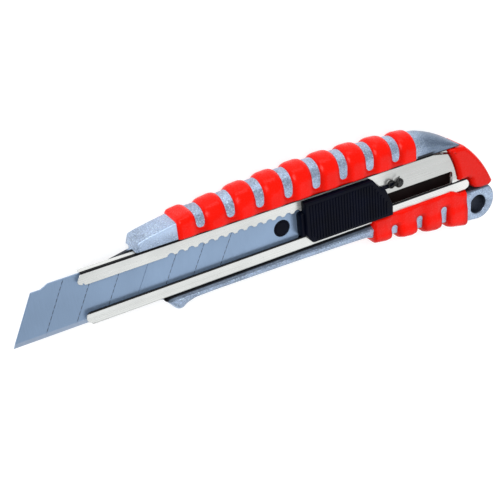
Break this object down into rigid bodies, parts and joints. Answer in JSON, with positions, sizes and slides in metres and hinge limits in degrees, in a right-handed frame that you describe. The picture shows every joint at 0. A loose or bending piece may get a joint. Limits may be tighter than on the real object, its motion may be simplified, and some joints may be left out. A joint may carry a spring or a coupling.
{
  "type": "utility knife",
  "caption": "Snap-off utility knife with a cast frame, steel blade channel, scored blade, black lock slider and red ribbed rubber grips.",
  "frame": {"origin": "middle of the bounding box's bottom, on the plane that the ribs' backs rest on", "axes": "+X from the blade's tip to the lanyard lug, +Y from the cutting edge to the spine, +Z out of the slider's face"},
  "size_m": [0.1892, 0.0458, 0.0148],
  "materials": {
    "cast_silver": "satin",
    "steel": "polished",
    "steel_dark": "satin",
    "blade_steel": "satin",
    "grip_red": "satin",
    "cap_red": "gloss",
    "black_plastic": "satin"
  },
  "bodies": {
    "body": {"frame": "cast_silver", "upper_grip": "grip_red", "lower_grip": "grip_red", "cap_catch": "steel", "blade_channel": "steel", "channel_rivets": "steel_dark"},
    "carriage": {"blade_carrier": "black_plastic", "carrier_stud": "black_plastic", "slider_button": "black_plastic", "lock_pawl": "steel_dark", "lock_leaf": "steel_dark", "spring_post": "steel_dark", "return_spring": "steel", "blade_tail": "blade_steel", "blade_segment_1": "blade_steel", "blade_segment_2": "blade_steel", "blade_segment_3": "blade_steel", "blade_segment_4": "blade_steel", "blade_segment_5": "blade_steel", "blade_segment_6": "blade_steel", "blade_segment_7": "blade_steel"},
    "rear_cap": {"end_cap": "cap_red"}
  },
  "joints": [
    {"name": "blade_slide", "type": "slide", "parent": "body", "child": "carriage", "axis": [1, 0, 0], "range_m": [-0.05475, 0.0219], "deforming": ["lock_pawl", "lock_leaf"]},
    {"name": "cap_pull", "type": "slide", "parent": "body", "child": "rear_cap", "axis": [1, 0, 0], "range_m": [0, 0.016]}
  ]
}
